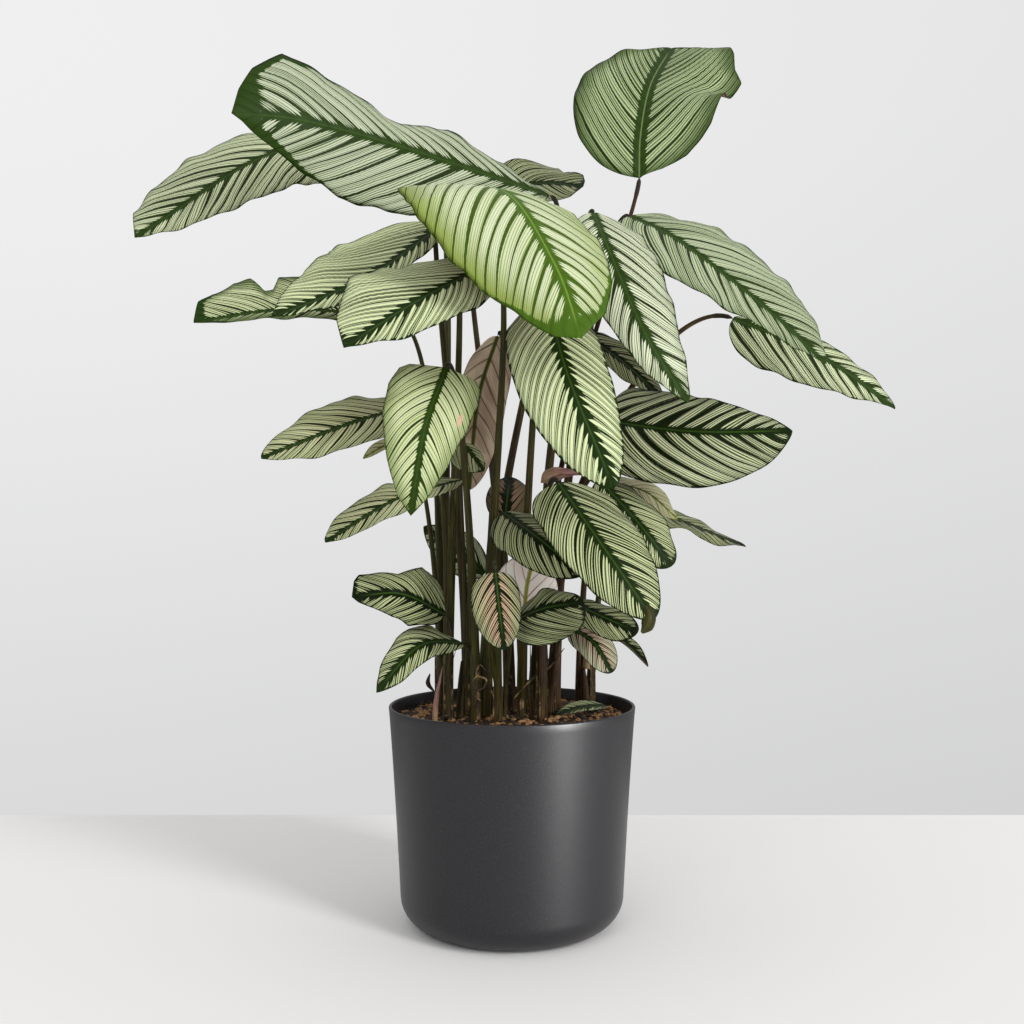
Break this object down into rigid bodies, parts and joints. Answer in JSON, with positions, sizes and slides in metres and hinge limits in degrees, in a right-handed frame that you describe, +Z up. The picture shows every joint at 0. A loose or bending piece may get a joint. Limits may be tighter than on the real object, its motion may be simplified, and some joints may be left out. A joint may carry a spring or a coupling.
{
  "type": "potted calathea",
  "caption": "Potted calathea: striped oval leaves with dark green margins and purplish undersides, on slender arching stalks out of a round dark satin pot of soil.",
  "frame": {"origin": "middle of the pot's flat base, on the surface it stands on", "axes": "+Z up; -Y is the front, from which the plant is seen; +X to the right from the front"},
  "size_m": [0.8196, 0.4921, 0.9528],
  "materials": {
    "pot": "satin anthracite with fine lighter speckles, slightly metallic sheen",
    "soil": "crumbly reddish-brown potting soil",
    "blade": "semi-gloss leaf, pale cream-green with fine green lines, dark green side stripes, midrib and margin; young leaves striped pink",
    "blade_back": "matt leaf underside, pale pinkish beige to purple with thin dark veins",
    "stalk": "smooth leaf stalk, dark green to olive and maroon with fine streaks"
  },
  "bodies": {
    "root": {"pot": "pot", "soil": "soil", "leaf_crown_left": "blade", "leaf_far_left": "blade", "leaf_crown_back": "blade", "leaf_front_arch": "blade", "leaf_top_right": "blade", "leaf_right_upper": "blade", "leaf_far_right": "blade", "leaf_right_hanging": "blade", "leaf_centre_hanging": "blade", "leaf_left_upper": "blade", "leaf_left_front": "blade", "leaf_left_wavy": "blade", "leaf_right_large": "blade", "leaf_right_inner": "blade", "leaf_heart": "blade", "leaf_left_mid": "blade", "leaf_pale_back": "blade_back", "leaf_left_lower": "blade", "leaf_inner_tip": "blade", "leaf_curled_tip": "blade", "leaf_upright": "blade", "leaf_centre_low": "blade", "leaf_low_front": "blade", "leaf_low_right": "blade", "leaf_low_pale": "blade", "leaf_low_grey": "blade", "leaf_base_left": "blade", "leaf_base_left_low": "blade", "leaf_pink_front": "blade", "leaf_base_centre": "blade", "leaf_pale_low": "blade_back", "leaf_base_right": "blade", "leaf_pink_right": "blade", "leaf_narrow_right": "blade", "leaf_grey_back": "blade", "leaf_on_soil": "blade", "stalks_left_back": "stalk", "stalks_left": "stalk", "stalks_left_inner": "stalk", "stalks_left_front": "stalk", "stalks_back_left": "stalk", "stalks_centre_left": "stalk", "stalks_back": "stalk", "stalks_front": "stalk", "stalks_centre": "stalk", "stalks_centre_front": "stalk", "stalks_back_right": "stalk", "stalks_centre_right": "stalk", "stalks_right_front": "stalk", "stalks_right_inner": "stalk", "stalks_right": "stalk", "stalks_far_right": "stalk", "stalks_far_right_back": "stalk"}
  },
  "joints": []
}
